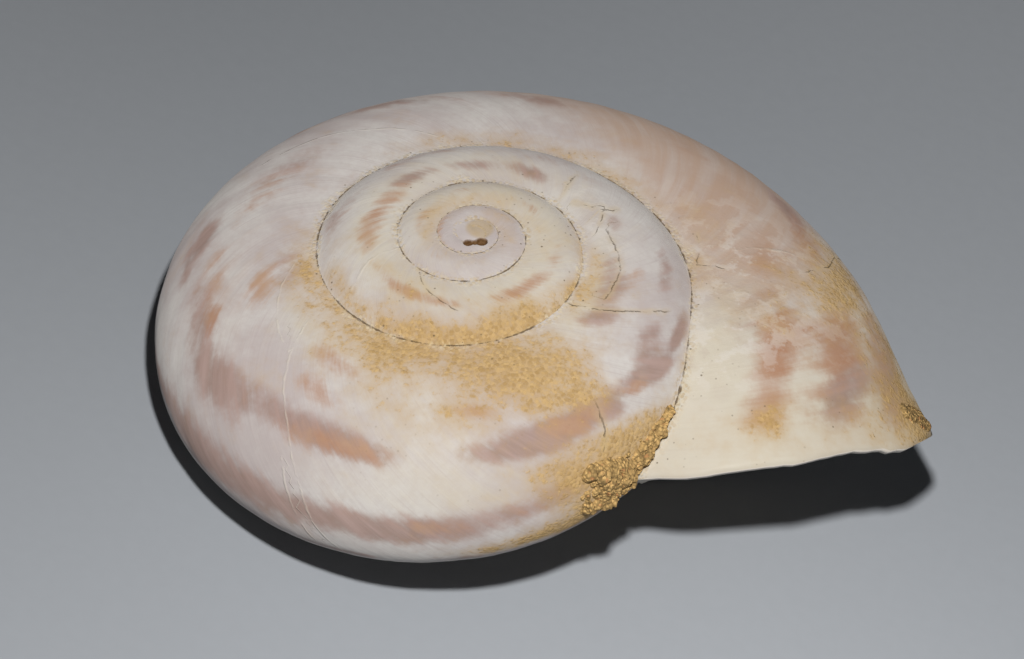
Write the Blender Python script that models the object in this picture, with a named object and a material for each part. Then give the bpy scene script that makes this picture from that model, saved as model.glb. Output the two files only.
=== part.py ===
"""A land snail shell lying on its mouth: one hollow right-handed coil, with soil caked in its last suture and a crumb
of soil on its lip. Metres, +Z up, the lowest point at z = 0 and the shell's axis leaning as it does at rest."""

import math

import bmesh
import bpy
import numpy as np
from mathutils import Euler, Matrix, Vector

MM = 0.001
TURN = 2 * math.pi

# The coil, in the shell's own frame: its axis is Z, its apex is the origin, and it grows clockwise seen from above.
# A growth angle is 0 at the lip's upper end and negative before it. An angle around the whorl is 0 at the
# periphery and grows upwards.
TURNS = 4.4
GROWTH_PER_TURN = 1.917
AXIS_TO_MIDDLE = 11.58 * MM
APEX_TO_MIDDLE = 12.24 * MM
DROP_POWER = 1.25
HALF_WIDTH = 9.74 * MM
HALF_HEIGHT = 8.70 * MM
SECTION_TILT = math.radians(-3.7)
LIP_AZIMUTH = math.radians(-49.7)

# The last stretch: the whorl falls away from the one before it and widens into the mouth. Along the lip it also
# turns a little outwards, most at the periphery.
FALL = 4.89 * MM
FALL_LENGTH = math.radians(45.4)
DRAW_IN = 0.63 * MM
FLARE = 0.25
FLARE_LENGTH = math.radians(76.2)
LIP_OUT = 0.75 * MM
LIP_OUT_LENGTH = math.radians(16)

# The wall. The mouth is cut along the growth lines, which trail behind the suture towards the base.
WALL = 0.55 * MM
CALLUS = 0.22 * MM
PILLAR_RADIUS = 0.9 * MM
PILLAR_FOOT = 10.4 * MM
NUCLEUS_PIT = 0.25 * MM
CHIP = 0.14 * MM

# The mesh: rows of growth, and columns from the suture over the periphery to the umbilicus. The next whorl hides
# every column past LANDING. Its own suture lies SUTURE_STEP rows further on there. From TRUE_FROM_ROW on, where no
# whorl lands any more, the rows below the suture follow the growth lines exactly.
ROWS_PER_TURN = 60
ROW = TURN / ROWS_PER_TURN
FIRST_ROW = -round(TURNS * ROWS_PER_TURN)
SUTURE_STEP = 6
MOUTH_ROW = SUTURE_STEP - ROWS_PER_TURN
LANDING = 6
COLUMNS = 18
SUTURE_AROUND = math.radians(99)
LANDING_AROUND = math.radians(32)
BASE_AROUND = math.radians(-95)
UMBILICAL_AROUND = math.radians(-160)
PLANE_RETURN = 0.55
TRUE_FROM_ROW = -32
CAVITY_STEP = 2
CAVITY_TURNS = 2

# The soil. The clod lies on the whorl before, on both sides of the lip's upper end, from the suture up to
# CLOD_TOP_AROUND. The crumb sits on the outside of the lip.
SOIL_GAP = 0.12 * MM
CLOD_FROM = math.radians(-20)
CLOD_TO = math.radians(17)
CLOD_TOP_AROUND = math.radians(33)
CLOD_DROP = math.radians(18)
CLOD_CLEAR = math.radians(3)
CLOD_THICK = 0.80 * MM
CRUMB_AROUND = math.radians(25)
CRUMB_HALF = 1.3 * MM
CRUMB_LENGTH = 1.9 * MM
CRUMB_THICK = 0.45 * MM

# At rest the shell stands on the lip's base and on the whorl's base opposite, so its axis leans away from the mouth.
REST_TURN = Euler((math.radians(1.35), math.radians(-15.2), math.radians(13.8)))
APEX_PLACE = Vector((-4.86, -3.04, 15.32)) * MM


def section(turn):
    """The middle's distance from the axis, its height, and the half width and half height of the whorl."""
    size = GROWTH_PER_TURN ** (turn / TURN)
    fall = np.clip(1 + turn / FALL_LENGTH, 0, 1) ** 2
    wide = 1 + FLARE * np.clip(1 + turn / FLARE_LENGTH, 0, 1) ** 2
    middle = AXIS_TO_MIDDLE * size - DRAW_IN * fall
    height = -APEX_TO_MIDDLE * size**DROP_POWER - FALL * fall
    return middle, height, HALF_WIDTH * size * wide, HALF_HEIGHT * size * wide


def outline(turn, around):
    """Distance from the axis and height of the whorl's surface."""
    middle, height, half_width, half_height = section(turn)
    to_lip = np.clip(1 + (turn - lean(around)) / LIP_OUT_LENGTH, 0, 1.1)
    across = half_width * np.cos(around) + LIP_OUT * (to_lip * np.clip(np.cos(around), 0, 1)) ** 2
    up = half_height * np.sin(around)
    cos, sin = math.cos(SECTION_TILT), math.sin(SECTION_TILT)
    return middle + across * cos - up * sin, height + across * sin + up * cos


def whorl_point(turn, around):
    radius, height = outline(turn, around)
    azimuth = LIP_AZIMUTH - turn
    return np.stack([radius * np.cos(azimuth), radius * np.sin(azimuth), height], -1)


def in_previous(turn, around):
    """The same point on the whorl before: its size against that outline, and its angle around there."""
    radius, up = outline(turn, around)
    middle, height, half_width, half_height = section(turn - TURN)
    cos, sin = math.cos(SECTION_TILT), math.sin(SECTION_TILT)
    across = ((radius - middle) * cos + (up - height) * sin) / half_width
    above = ((up - height) * cos - (radius - middle) * sin) / half_height
    return np.hypot(across, above), np.arctan2(above, across)


def suture(turn):
    """The angle around at which the whorl leaves the one before it."""
    low = np.full(np.shape(turn), math.radians(70.0))
    high = np.full(np.shape(turn), math.radians(135.0))
    for _ in range(40):
        middle = (low + high) / 2
        outside = in_previous(turn, middle)[0] > 1
        low = np.where(outside, middle, low)
        high = np.where(outside, high, middle)
    return low


def landing(turn):
    """The angle around, on the whorl before, at which the whorl's suture lies. Past the lip it goes back."""
    mirrored = -np.abs(turn)
    return in_previous(mirrored, suture(mirrored))[1]


def lean(around):
    """How far a growth line has fallen behind its upper end."""
    quarter = (SUTURE_AROUND - around) / (SUTURE_AROUND - BASE_AROUND) * math.pi / 2
    at_landing = (SUTURE_AROUND - LANDING_AROUND) / (SUTURE_AROUND - BASE_AROUND) * math.pi / 2
    most = SUTURE_STEP * ROW / math.sin(at_landing)
    back = np.clip((BASE_AROUND - around) / (BASE_AROUND - UMBILICAL_AROUND), 0, 1)
    return -most * np.sin(quarter) * (1 - PLANE_RETURN * back * back * (3 - 2 * back))


def chips(column):
    """The broken edge: how far the lip stands forward of its growth line."""
    return CHIP * (np.sin(2.3 * column) + 0.6 * np.sin(5.1 * column + 1)) * np.sin(math.pi * column / COLUMNS)


def growth_grid():
    """The points of every row and column, hidden ones too, and the normals there."""
    rows = np.arange(FIRST_ROW, 1)[:, None] * ROW
    columns = np.arange(COLUMNS + 1)
    upper = np.minimum(columns / LANDING, 1)
    lower = np.maximum(columns - LANDING, 0) / (COLUMNS - LANDING)
    nominal = SUTURE_AROUND + (LANDING_AROUND - SUTURE_AROUND) * upper
    nominal = nominal + (UMBILICAL_AROUND - LANDING_AROUND) * lower
    exact = np.clip((rows / ROW - MOUTH_ROW) / (TRUE_FROM_ROW - MOUTH_ROW), 0, 1) * upper
    around = nominal
    for _ in range(4):
        turn = rows + (1 - exact) * lean(nominal) + exact * lean(around)
        turn[-1] += chips(columns) / AXIS_TO_MIDDLE
        start, end = suture(turn), landing(turn + TURN)
        around = start + (end - start) * upper + (UMBILICAL_AROUND - end) * lower
    points = whorl_point(turn, around)
    normals = np.cross(np.gradient(points, axis=0), np.gradient(points, axis=1))
    normals /= np.linalg.norm(normals, axis=2, keepdims=True)
    outwards = points[-1, COLUMNS // 2, :2] @ normals[-1, COLUMNS // 2, :2]
    return points, normals * math.copysign(1, outwards)


def mouth_ring(points, row):
    """The closed section at a row: down the whorl, over the pillar's foot, and up the whorl before."""
    last, size = row - FIRST_ROW, GROWTH_PER_TURN ** (row / ROWS_PER_TURN)
    foot = np.array([[0, 0, -PILLAR_FOOT * size**DROP_POWER]])
    before = points[last + MOUTH_ROW, :LANDING:-1]
    return np.concatenate([points[last], foot, before, points[last, :1]])


def cavity_ring(points, normals, row):
    """The hollow's section at a row: the closed section drawn in by the wall, the callus and the pillar."""
    last, size = row - FIRST_ROW, GROWTH_PER_TURN ** (row / ROWS_PER_TURN)
    wall, callus = WALL * size, CALLUS * size
    outer = points[last] - wall * normals[last]
    before = points[last + MOUTH_ROW] + callus * normals[last + MOUTH_ROW]
    inward, outward = -normals[last, 0], normals[last + MOUTH_ROW, LANDING]
    facing = inward @ outward
    along_inward = (wall - facing * callus) / (1 - facing**2)
    along_outward = (callus - facing * wall) / (1 - facing**2)
    outer[0] = points[last, 0] + along_inward * inward + along_outward * outward
    to_mouth = outer[COLUMNS - 1, :2] / np.linalg.norm(outer[COLUMNS - 1, :2])
    foot = np.append(to_mouth * PILLAR_RADIUS * size, -PILLAR_FOOT * size**DROP_POWER)
    return np.concatenate([outer, foot[None], before[:LANDING:-1], outer[:1]])


def lay_grid(bm, points):
    """Adds a grid with its vertices at the points, and returns them by row."""
    rows, columns = points.shape[:2]
    verts = bmesh.ops.create_grid(bm, x_segments=columns - 1, y_segments=rows - 1, size=1)["verts"]
    for vert, place in zip(verts, points.reshape(-1, 3)):
        vert.co = place
    return [verts[row * columns : (row + 1) * columns] for row in range(rows)]


def close_over(bm, verts, tip):
    """Closes the surface from a chain of vertices to one point, as a fan."""
    chain = set(verts)
    edges = {edge for vert in verts for edge in vert.link_edges if edge.is_boundary and edge.other_vert(vert) in chain}
    made = bmesh.ops.extrude_edge_only(bm, edges=list(edges))["geom"]
    bmesh.ops.pointmerge(bm, verts=[part for part in made if isinstance(part, bmesh.types.BMVert)], merge_co=tip)


def finish(name, bm, material):
    """Closes and triangulates the piece, sets it down at its rest and makes it an object."""
    bmesh.ops.remove_doubles(bm, verts=bm.verts, dist=0.0005 * MM)
    bmesh.ops.recalc_face_normals(bm, faces=bm.faces)
    if bm.calc_volume(signed=True) < 0:
        bmesh.ops.reverse_faces(bm, faces=bm.faces)
    bmesh.ops.triangulate(bm, faces=bm.faces)
    at_rest = Matrix.Translation(APEX_PLACE) @ REST_TURN.to_matrix().to_4x4()
    bmesh.ops.transform(bm, matrix=at_rest, verts=bm.verts)
    mesh = bpy.data.meshes.new(name)
    bm.to_mesh(mesh)
    bm.free()
    mesh.shade_smooth()
    mesh.materials.append(material)
    piece = bpy.data.objects.new(name, mesh)
    bpy.context.collection.objects.link(piece)
    return piece


def finish_material(name, colour, roughness):
    material = bpy.data.materials.new(name)
    material.use_nodes = True
    shader = material.node_tree.nodes["Principled BSDF"]
    shader.inputs["Base Color"].default_value = (*colour, 1)
    shader.inputs["Roughness"].default_value = roughness
    shader.inputs["Metallic"].default_value = 0
    return material


def make_shell(points, normals):
    bm = bmesh.new()
    rows = lay_grid(bm, points)
    hidden = [vert for verts in rows[: MOUTH_ROW - FIRST_ROW] for vert in verts[LANDING + 1 :]]
    bmesh.ops.delete(bm, geom=hidden, context="VERTS")
    umbilical = [verts[-1] for verts in rows[MOUTH_ROW - FIRST_ROW :]]
    foot = mouth_ring(points, 0)[COLUMNS + 1]
    close_over(bm, umbilical, foot)
    first_turn = [verts[0] for verts in rows[: -MOUTH_ROW + 1]] + rows[0][: LANDING + 1]
    pit = np.mean([vert.co for vert in first_turn], axis=0) - (0, 0, NUCLEUS_PIT)
    close_over(bm, first_turn, pit)
    cavity_rows = range(0, -CAVITY_TURNS * ROWS_PER_TURN - 1, -CAVITY_STEP)
    rings = [mouth_ring(points, 0)] + [cavity_ring(points, normals, row) for row in cavity_rows]
    inside = lay_grid(bm, np.array(rings))
    close_over(bm, inside[-1], np.mean(rings[-1][:-1], axis=0))
    return finish("shell", bm, finish_material("shell_wall", (0.74, 0.66, 0.56), 0.45))


def clod_patch(along, share):
    """Points of the whorl before beside the lip's upper end: share is 0 by the suture and 1 at the clod's top."""
    low = landing(np.minimum(along, 0)) + CLOD_CLEAR - CLOD_DROP * np.clip(along / CLOD_TO, 0, 1)
    return whorl_point(along - TURN, low + (CLOD_TOP_AROUND - low) * share)


def crumb_patch(back, across):
    """Points of the lip's outside: back is a length in from the edge, across a length around the whorl."""
    around = CRUMB_AROUND + across / HALF_WIDTH
    reach = AXIS_TO_MIDDLE + HALF_WIDTH
    return whorl_point(lean(around) - back / reach, around)


def make_soil(name, points, thickness):
    """A lumpy crust over a patch of the shell, thinning to nothing at its edge."""
    rows, columns = points.shape[:2]
    normals = np.cross(np.gradient(points, axis=0), np.gradient(points, axis=1))
    normals /= np.linalg.norm(normals, axis=2, keepdims=True)
    from_middle = points.mean(axis=(0, 1)) - (0, 0, -APEX_TO_MIDDLE / 2)
    normals *= math.copysign(1, normals.mean(axis=(0, 1)) @ from_middle)
    row, column = np.mgrid[0:rows, 0:columns]
    edge = np.sin(math.pi * row / (rows - 1)) * np.sin(math.pi * column / (columns - 1))
    lumps = 0.75 + 0.25 * np.sin(2.1 * row + 1.3 * column) * np.sin(1.7 * row - 2.6 * column)
    height = thickness * np.sqrt(np.clip(edge, 0, 1)) * lumps
    under = points + SOIL_GAP * normals
    over = under + height[..., None] * normals
    over[[0, -1]], over[:, [0, -1]] = under[[0, -1]], under[:, [0, -1]]
    bm = bmesh.new()
    lay_grid(bm, under)
    lay_grid(bm, over)
    return finish(name, bm, finish_material(name, (0.42, 0.30, 0.13), 0.95))


def make_suture_soil():
    along, share = np.meshgrid(np.linspace(CLOD_FROM, CLOD_TO, 13), np.linspace(0, 1, 9), indexing="ij")
    return make_soil("suture_soil", clod_patch(along, share), CLOD_THICK)


def make_lip_soil():
    back = np.linspace(CHIP, CHIP + CRUMB_LENGTH, 7)
    across = np.linspace(-CRUMB_HALF, CRUMB_HALF, 7)
    return make_soil("lip_soil", crumb_patch(*np.meshgrid(back, across, indexing="ij")), CRUMB_THICK)


def main():
    for old in list(bpy.data.objects):
        bpy.data.objects.remove(old)
    points, normals = growth_grid()
    make_shell(points, normals)
    make_suture_soil()
    make_lip_soil()


main()
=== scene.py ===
"""Dresses the land snail shell: the coiled shell with its growth lines, faded bands, stains, cracks and
broken lip, and the soil caked on it. Metres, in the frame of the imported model."""

import math

import bmesh
import bpy
import numpy as np
from bpy.props import FloatProperty, FloatVectorProperty, IntProperty, PointerProperty
from mathutils import Euler, Matrix, Vector


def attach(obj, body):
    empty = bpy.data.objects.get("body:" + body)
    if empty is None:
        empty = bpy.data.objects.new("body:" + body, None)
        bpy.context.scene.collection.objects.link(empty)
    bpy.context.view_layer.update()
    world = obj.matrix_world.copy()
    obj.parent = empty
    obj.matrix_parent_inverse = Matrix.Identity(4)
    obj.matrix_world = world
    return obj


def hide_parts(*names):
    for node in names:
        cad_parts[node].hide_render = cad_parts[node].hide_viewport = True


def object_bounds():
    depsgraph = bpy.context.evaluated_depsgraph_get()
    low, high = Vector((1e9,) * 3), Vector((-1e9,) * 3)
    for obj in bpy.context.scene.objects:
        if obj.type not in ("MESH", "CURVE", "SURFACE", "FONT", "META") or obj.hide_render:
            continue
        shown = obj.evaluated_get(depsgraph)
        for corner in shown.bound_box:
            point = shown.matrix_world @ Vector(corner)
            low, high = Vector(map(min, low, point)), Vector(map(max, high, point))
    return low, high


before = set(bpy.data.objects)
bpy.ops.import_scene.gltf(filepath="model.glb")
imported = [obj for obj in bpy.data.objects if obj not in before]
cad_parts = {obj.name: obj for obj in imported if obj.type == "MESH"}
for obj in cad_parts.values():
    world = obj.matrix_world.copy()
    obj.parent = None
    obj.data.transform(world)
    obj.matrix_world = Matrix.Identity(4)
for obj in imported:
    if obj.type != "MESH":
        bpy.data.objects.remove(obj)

bl_info = {
    "name": "Land snail shell",
    "version": (1, 0, 0),
    "blender": (4, 5, 0),
    "location": "3D View > Sidebar > Snail Shell",
    "description": "Builds a weathered land snail shell, the soil on it and a plain stage",
    "category": "Object",
}

MM = 0.001
TURN = 2 * math.pi
CAD_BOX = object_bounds()

# The coil, in the shell's own frame: its axis is Z, its apex is the origin, and it grows clockwise seen from
# above. A growth angle is 0 at the lip's upper end and negative before it. An angle around the whorl is 0 at
# the periphery and grows upwards.
TURNS = 4.4
GROWTH_PER_TURN = 1.917
AXIS_TO_MIDDLE = 11.58 * MM
APEX_TO_MIDDLE = 12.24 * MM
DROP_POWER = 1.25
HALF_WIDTH = 9.74 * MM
HALF_HEIGHT = 8.70 * MM
SECTION_TILT = math.radians(-3.7)
LIP_AZIMUTH = math.radians(-49.7)
FALL = 4.89 * MM
FALL_LENGTH = math.radians(45.4)
DRAW_IN = 0.63 * MM
FLARE = 0.25
FLARE_LENGTH = math.radians(76.2)
LIP_OUT = 0.75 * MM
LIP_OUT_LENGTH = math.radians(16)
SUTURE_AROUND = math.radians(99)
LANDING_AROUND = math.radians(32)
BASE_AROUND = math.radians(-95)
UMBILICAL_AROUND = math.radians(-160)
SUTURE_SHARE = 0.1
PLANE_RETURN = 0.55
CALLUS = 0.22 * MM
PILLAR_RADIUS = 0.9 * MM
PILLAR_FOOT = 10.4 * MM
LIP_SWELL = 0.31 * MM
REST_TURN = Euler((math.radians(1.35), math.radians(-15.2), math.radians(13.8)))
APEX_PLACE = Vector((-4.86, -3.04, 15.32)) * MM

# The fine mesh. The columns up to LANDING run from the suture to the landing of the next whorl, and the rest
# from there to the umbilicus. From TRUE_FROM on, each row is a growth line. The last LIP_ROWS rows are drawn
# forward to the broken edge.
TRUE_FROM = -32 / 60 * TURN
LANDING = 28
COLUMNS = 100
CAVITY_TURNS = 2
CAVITY_RINGS = 80
LIP_ROWS = 14
CAP_RINGS = 16
STEPS_TO_LANDING = 6
STEPS_TO_UMBILICUS = 18
WELD = 0.0006 * MM

# Each corner keeps the millimetres to the nearest suture, up to FAR_FROM_SUTURE. Inside it keeps INSIDE_MARK.
FAR_FROM_SUTURE = 8.0
INSIDE_MARK = 10.0

# The relief lies this many ridges' heights under the coil, and it rises to the coil beside a suture.
RELIEF_DEPTH = 2.5
RELIEF_FADE = 1.3 * MM

# The eroded tip: joined holes beside the tan nucleus, and the nucleus. Each is its place beside the axis, in
# X and in Y, and its radius.
TIP_REACH = 1.3 * MM
TIP_DROP = 1.2 * MM
HOLES = (
    (-0.21 * MM, -0.64 * MM, 0.20 * MM),
    (0.08 * MM, -0.60 * MM, 0.16 * MM),
    (0.36 * MM, -0.56 * MM, 0.24 * MM),
)
HOLE_DEPTH = 0.5 * MM
NUCLEUS = (0.28 * MM, 0.26 * MM, 0.72 * MM)
NUCLEUS_EDGE = 0.25 * MM
TIP_DOME = 0.05 * MM

# The soil. The clod's patch is its solid's, on both sides of the lip's upper end. The crumb's patch, outside
# the lip, is wider than its solid. The soil ends SUNK under the shell's surface. The parts are lumps: the
# growth angle and the angle around of the middle, the half length and half height, all in degrees, and the
# strength.
CLOD_FROM = math.radians(-20)
CLOD_TO = math.radians(17)
CLOD_TOP_AROUND = math.radians(33)
CLOD_DROP = math.radians(18)
CLOD_CLEAR = math.radians(3)
CLOD_GRID = (250, 160)
CRUMB_AROUND = math.radians(25)
CRUMB_HALF = 1.8 * MM
CRUMB_BACK = 0.1 * MM
CRUMB_LENGTH = 2.7 * MM
CRUMB_GRID = (90, 120)
SUNK = 0.18 * MM
THINNEST_SOIL = 0.004 * MM
LUMP_LENGTH = 0.7 * MM
LUMP_WIDTH = 0.6 * MM
SMALL_LUMP = 0.3 * MM
COARSE_GRAIN = 0.26 * MM
FINE_GRAIN = 0.15 * MM
CLOD_PARTS = (
    (-13, 19, 4, 2.0, 0.9),
    (-8, 14, 4, 3.0, 0.9),
    (-4, 8, 4, 4.5, 0.95),
    (3, 6, 5, 6, 0.9),
    (8, 13, 3.5, 6, 0.9),
    (12, 19, 2.2, 3.5, 0.85),
    (8, -4, 4, 6, 0.85),
    (2, -8, 4, 5, 0.9),
    (12, -8, 2.5, 5, 0.85),
)
CRUMB_PARTS = (
    (-1.3, 18, 0.9, 2.5, 0.7),
    (-2.3, 22, 1.0, 3, 0.75),
    (-3.5, 27, 0.8, 3, 0.8),
    (-5.0, 31, 0.7, 3, 0.75),
    (-6.2, 34, 0.5, 1.5, 0.75),
)

# Patches of colour on the outside, in the same terms.
MAUVE_PATCHES = (
    (-212, 50, 7, 5, 0.55),
    (-221, 39, 8, 7, 0.95),
    (-231, 43, 6, 5, 0.6),
    (-228, 90, 7, 6, 0.45),
    (-246, 46, 6, 4, 0.7),
    (-257, 45, 7, 5, 0.9),
    (-264, 44, 6, 4, 0.7),
    (-210, 2, 12, 9, 0.9),
    (-228, 4, 12, 7, 0.85),
    (-243, 6, 7, 5, 0.75),
    (-253, 3, 6, 6, 0.8),
    (-264, 6, 8, 6, 0.8),
    (-276, 5, 6, 5, 0.5),
    (-288, 10, 8, 4, 0.8),
    (-299, 16, 5, 5, 0.8),
    (-300, 44, 8, 4, 0.95),
    (-308, 46, 6, 5, 0.95),
    (-318, 48, 7, 4, 0.9),
    (-326, 49, 5, 5, 0.8),
    (-334, 50, 3, 3, 0.7),
    (-327, 43, 2, 3, 0.7),
    (-342, 47, 4, 4, 0.9),
    (-344, 42, 3, 4, 1.0),
    (-350, 52, 3, 4, 0.7),
    (-357, 41, 6, 3, 1.0),
    (-358, 57, 3, 4, 0.8),
    (-365, 84, 4, 6, 0.75),
    (-384, 56, 7, 4, 0.65),
    (-382, 85, 6, 6, 0.6),
    (-396, 88, 5, 5, 0.5),
    (-415, 80, 4, 4, 0.6),
    (-465, 88, 7, 5, 0.7),
    (-495, 88, 9, 4, 0.75),
    (-525, 85, 10, 5, 0.75),
    (-545, 55, 9, 8, 0.6),
    (-450, 66, 14, 6, 0.35),
    (-500, 58, 16, 6, 0.4),
    (-137, 56, 5, 5, 0.85),
    (-130, 63, 5, 4, 0.5),
    (-108, 64, 5, 4, 0.7),
    (-190, 51, 4, 5, 1.0),
    (-176, 72, 8, 7, 0.4),
    (-50, 50, 4, 4, 1.0),
    (-11, 57, 4, 4, 1.0),
    (-13, 52, 3, 4, 0.8),
    (-14, 34, 5, 4, 0.8),
    (-9, 36, 4, 4, 1.0),
    (-18, 40, 8, 4, 0.7),
    (-35, 76, 4, 6, 0.35),
    (-36, 84, 5, 6, 0.3),
    (-28, 84, 4, 4, 0.25),
)
RUST_PATCHES = (
    (-217, 53, 4, 5, 0.6),
    (-227, 77, 5, 6, 0.6),
    (-205, 60, 6, 6, 0.4),
    (-261, 43, 7, 4, 0.9),
    (-259, 62, 5, 4, 0.65),
    (-267, 78, 6, 4, 0.65),
    (-247, 40, 4, 4, 0.4),
    (-266, 7, 6, 4, 0.5),
    (-303, 65, 4, 3, 0.7),
    (-316, 47, 4, 4, 1.0),
    (-324, 49, 4, 4, 0.5),
    (-337, 45, 3, 3, 0.75),
    (-385, 74, 4, 4, 0.5),
    (-288, 8, 6, 3, 0.4),
    (-186, 71, 6, 6, 0.55),
    (-77, 65, 6, 6, 0.4),
    (-47, 55, 6, 6, 0.4),
    (-46, 78, 5, 5, 0.45),
    (-42, 54, 4, 5, 0.5),
    (-50, 74, 4, 4, 0.4),
    (-24, 76, 7, 4, 1.0),
    (-16, 76, 5, 3, 0.7),
    (-26, 68, 4, 8, 0.55),
    (-20, 59, 5, 5, 1.0),
    (-9, 65, 4, 3, 0.4),
    (-7, 52, 3, 3, 0.4),
    (-23, 53, 5, 5, 0.7),
    (-16, 39, 10, 4, 0.5),
    (-8, 74, 3, 3, 0.5),
    (-560, 88, 18, 7, 0.7),
    (-578, 82, 10, 5, 0.5),
    (-628, 80, 14, 4, 0.75),
    (-655, 80, 9, 4, 0.5),
    (-703, 79, 16, 6, 0.75),
    (-735, 75, 12, 6, 0.45),
    (-920, 85, 20, 7, 0.4),
    (-860, 78, 10, 7, 0.4),
    (-800, 84, 12, 6, 0.45),
    (-985, 84, 14, 9, 0.4),
    (-1290, 60, 40, 14, 0.6),
)
OCHRE_PATCHES = (
    (-660, 45, 42, 10, 1.0),
    (-640, 56, 12, 7, 0.4),
    (-690, 62, 16, 9, 0.6),
    (-600, 48, 20, 8, 0.35),
    (-300, 97, 40, 9, 0.75),
    (-275, 92, 16, 9, 0.5),
    (-320, 84, 18, 7, 0.75),
    (-329, 72, 9, 9, 0.95),
    (-321, 62, 7, 7, 0.75),
    (-336, 82, 8, 9, 0.6),
    (-330, 57, 4, 6, 0.7),
    (-303, 24, 5, 6, 0.7),
    (-313, 33, 4, 5, 0.5),
    (-323, 26, 7, 6, 0.6),
    (-306, 14, 9, 12, 0.8),
    (-322, 10, 9, 14, 0.9),
    (-299, 2, 9, 9, 0.75),
    (-291, -12, 9, 6, 0.9),
    (-280, -16, 9, 5, 0.7),
    (-268, -18, 7, 4, 0.4),
    (-290, 62, 10, 14, 0.3),
    (-310, 72, 10, 8, 0.35),
    (-284, 78, 12, 10, 0.3),
    (-360, 27, 14, 6, 0.5),
    (-32, 50, 7, 13, 0.8),
    (-18, 35, 7, 10, 0.5),
    (-9, 28, 5, 8, 0.5),
    (-36, 74, 6, 12, 0.35),
    (-8, 74, 3, 3, 0.6),
    (-3, 28, 4, 10, 0.85),
    (-5, 60, 4, 25, 0.25),
    (-58, 96, 7, 5, 0.5),
    (-100, 97, 14, 4, 0.45),
    (-140, 96, 16, 4, 0.4),
    (-230, 97, 12, 5, 0.45),
    (-740, 40, 26, 6, 0.6),
    (-640, 78, 40, 12, 0.3),
    (-900, 96, 120, 12, 0.4),
    (-1180, 90, 60, 30, 0.3),
    (-390, 98, 18, 4, 0.5),
)
PINK_PATCHES = (
    (-72, 72, 20, 22, 1.0),
    (-60, 52, 18, 16, 0.7),
    (-48, 76, 10, 14, 0.6),
    (-215, 55, 12, 14, 0.35),
    (-95, 62, 12, 12, 0.4),
)
CREAM_PATCHES = (
    (-800, 85, 150, 30, 0.7),
    (-560, 88, 110, 14, 0.5),
    (-8, 70, 16, 30, 0.75),
    (-4, 45, 7, 30, 1.0),
    (-25, 92, 16, 9, 0.8),
    (-250, 83, 9, 6, 0.5),
    (-285, 60, 14, 20, 0.45),
    (-275, 25, 20, 12, 0.4),
    (-380, 92, 25, 6, 0.6),
)
FLAKY_PATCHES = (
    (-48, 86, 14, 12, 0.9),
    (-32, 86, 10, 12, 1.0),
    (-34, 60, 8, 20, 1.0),
    (-28, 30, 8, 14, 0.8),
    (-66, 96, 10, 6, 0.6),
    (-430, 86, 10, 10, 1.0),
    (-405, 86, 12, 8, 0.7),
    (-335, 56, 5, 6, 0.7),
)

# The broken bands that the photograph doesn't show: their angles around and half height, in degrees.
BAND_AROUNDS = (66, 45, 6, -24, -48)
BAND_HALF_HEIGHT = 6
BAND_STRENGTH = 0.85

# Fine lines on the outside, each through points of growth angle and angle around, in degrees, and how near a
# place is beside them, in millimetres.
FAR_FROM_LINES = 9.0
BESIDE_LINE = 0.8
BESIDE_FADE = 0.3
CRACKS = (
    ((-372, 97), (-370, 86), (-369, 75), (-368, 60)),
    ((-443, 73), (-446, 84), (-449, 97)),
    ((-437, 91), (-431, 87), (-426, 80)),
    ((-421, 88), (-425, 82), (-422, 77)),
    ((-413, 87), (-404, 85), (-392, 83), (-379, 84)),
    ((-38, 59), (-36.4, 50), (-36.8, 42), (-34, 30)),
    ((-640, 97), (-645, 89), (-650, 82)),
    ((-325, 46), (-321, 38), (-316, 30)),
    ((-62, 94), (-57, 97), (-54, 93)),
)
THREADS = (
    ((-251, 78), (-249, 60), (-247, 40), (-243, 20), (-238, 0), (-235, -20)),
    ((-241, 26), (-236, 6), (-232, -14)),
    ((-600, 92), (-596, 80), (-594, 66)),
    ((-52, 79), (-49, 73), (-46, 68)),
    ((-150, 88), (-158, 72), (-166, 60)),
    ((-232, 88), (-243, 74), (-250, 70)),
)

# Colours that go with those of the settings.
DULL_SHELL = (0.46, 0.385, 0.37)
PALE_MAUVE = (0.42, 0.28, 0.24)
PALE_RUST = (0.47, 0.29, 0.19)
DARK_FLAKE = (0.48, 0.38, 0.31)
PALE_FLAKE = (0.72, 0.68, 0.63)
DARK_POWDER = (0.42, 0.26, 0.09)
PALE_POWDER = (0.62, 0.42, 0.18)
DARK_CRUST = (0.46, 0.32, 0.15)
PALE_CRUST = (0.70, 0.60, 0.42)
SUTURE_LINE = (0.13, 0.08, 0.04)
CRACK_CRUST = (0.60, 0.46, 0.24)
CRACK_LINE = (0.15, 0.10, 0.06)
PALE_THREAD = (0.72, 0.66, 0.55)
DARK_SPECK = (0.13, 0.09, 0.05)
TAN_NUCLEUS = (0.48, 0.35, 0.18)
# Painted shade for the tip's holes.
HOLE_PAINTED_SHADE = (0.09, 0.04, 0.012)
HOLE_CRUMBS = (0.30, 0.17, 0.08)
PALE_INSIDE = (0.68, 0.62, 0.54)
RED_GRAIN = (0.40, 0.15, 0.06)

# How fine and how deep the materials' patterns are.
GRAINS_A_METRE = 6500
FLAKES_A_METRE = 900
SPECKS_A_METRE = 2600
SHELL_BUMP = 0.09 * MM
SOIL_BUMP = 0.08 * MM

# The view. The lens and its sensor, in millimetres, go with this distance from the apex.
CAMERA_DISTANCE = 202.0 * MM
CAMERA_LENS = 164.76
CAMERA_SENSOR = 36
CAMERA_PITCH = math.radians(44.1)
CAMERA_ROLL = math.radians(-1.2)
AIM_RIGHT = 1.667 * MM
AIM_DOWN = 4.079 * MM

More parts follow.
